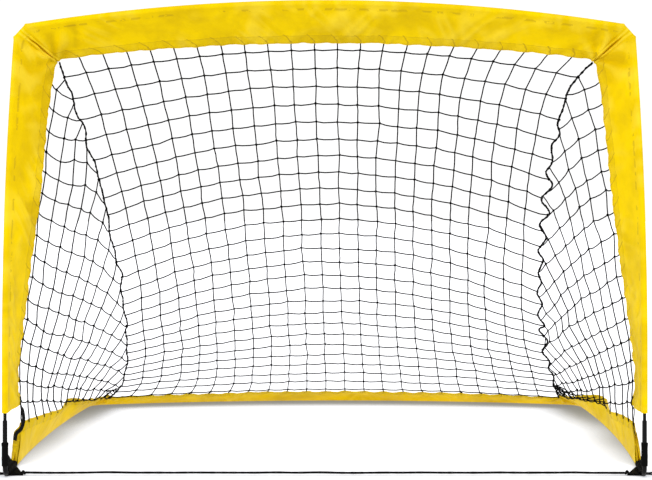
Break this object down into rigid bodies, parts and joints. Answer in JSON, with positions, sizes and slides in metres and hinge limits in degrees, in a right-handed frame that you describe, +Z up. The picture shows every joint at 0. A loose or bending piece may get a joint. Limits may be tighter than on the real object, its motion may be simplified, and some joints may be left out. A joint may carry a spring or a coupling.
{
  "type": "portable practice goal",
  "caption": "Portable practice goal: a bowed pole arch in bent tube feet and a U-shaped base, both in flat fabric sleeves, with a knotted net at the back and sides.",
  "frame": {"origin": "on the ground under the middle of the goal: half way between the posts and half way between the post poles' front and the rear pole's back", "axes": "+Z up, +X to the right as seen from the front, and the open mouth faces -Y"},
  "size_m": [1.3134, 0.9196, 0.9135],
  "materials": {
    "yellow_polyester": "plain woven polyester, satin",
    "black_twine": "knotted polyethylene twine",
    "black_cord": "braided cord",
    "black_fibreglass": "pultruded rod, satin",
    "black_steel": "black powder coat, satin",
    "zinc_steel": "zinc plated",
    "shock_cord": "braided cover over rubber",
    "black_plastic": "moulded",
    "black_webbing": "coated fabric, matte",
    "black_elastic": "ribbed elastic webbing"
  },
  "bodies": {
    "base": {"foot_left": "black_steel", "foot_right": "black_steel", "base_pole_front_left": "black_fibreglass", "base_pole_front_right": "black_fibreglass", "base_pole_side_left": "black_fibreglass", "base_pole_side_right": "black_fibreglass", "base_pole_rear_left": "black_fibreglass", "base_pole_rear_right": "black_fibreglass", "base_ferrule_left": "zinc_steel", "base_ferrule_right": "zinc_steel", "base_ferrule_rear": "zinc_steel", "rear_elbow_left": "zinc_steel", "rear_elbow_right": "zinc_steel", "base_shock_cord": "shock_cord", "base_pole_tips": "black_plastic", "base_sleeve_left": "yellow_polyester", "base_sleeve_rear": "yellow_polyester", "base_sleeve_right": "yellow_polyester", "gusset_left": "black_webbing", "gusset_right": "black_webbing", "strap_left": "black_elastic", "strap_right": "black_elastic", "ground_cord": "black_cord", "cord_knot_left": "black_cord", "cord_knot_right": "black_cord", "peg_loop_left": "black_cord", "peg_loop_right": "black_cord"},
    "arch": {"post_pole_lower_left": "black_fibreglass", "post_pole_lower_right": "black_fibreglass", "post_pole_upper_left": "black_fibreglass", "post_pole_upper_right": "black_fibreglass", "crossbar_pole_left": "black_fibreglass", "crossbar_pole_right": "black_fibreglass", "post_ferrule_left": "zinc_steel", "post_ferrule_right": "zinc_steel", "crossbar_ferrule": "zinc_steel", "arch_elbow_left": "zinc_steel", "arch_elbow_right": "zinc_steel", "arch_shock_cord": "shock_cord", "post_pole_tips": "black_plastic", "post_sleeve_left": "yellow_polyester", "crossbar_sleeve": "yellow_polyester", "post_sleeve_right": "yellow_polyester", "back_net": "black_twine", "side_net_left": "black_twine", "side_net_right": "black_twine", "seam_cord_left": "black_cord", "seam_cord_right": "black_cord"}
  },
  "joints": [
    {"name": "arch_lift", "type": "slide", "parent": "base", "child": "arch", "axis": [0, 0, 1], "range_m": [0, 0.06]}
  ]
}
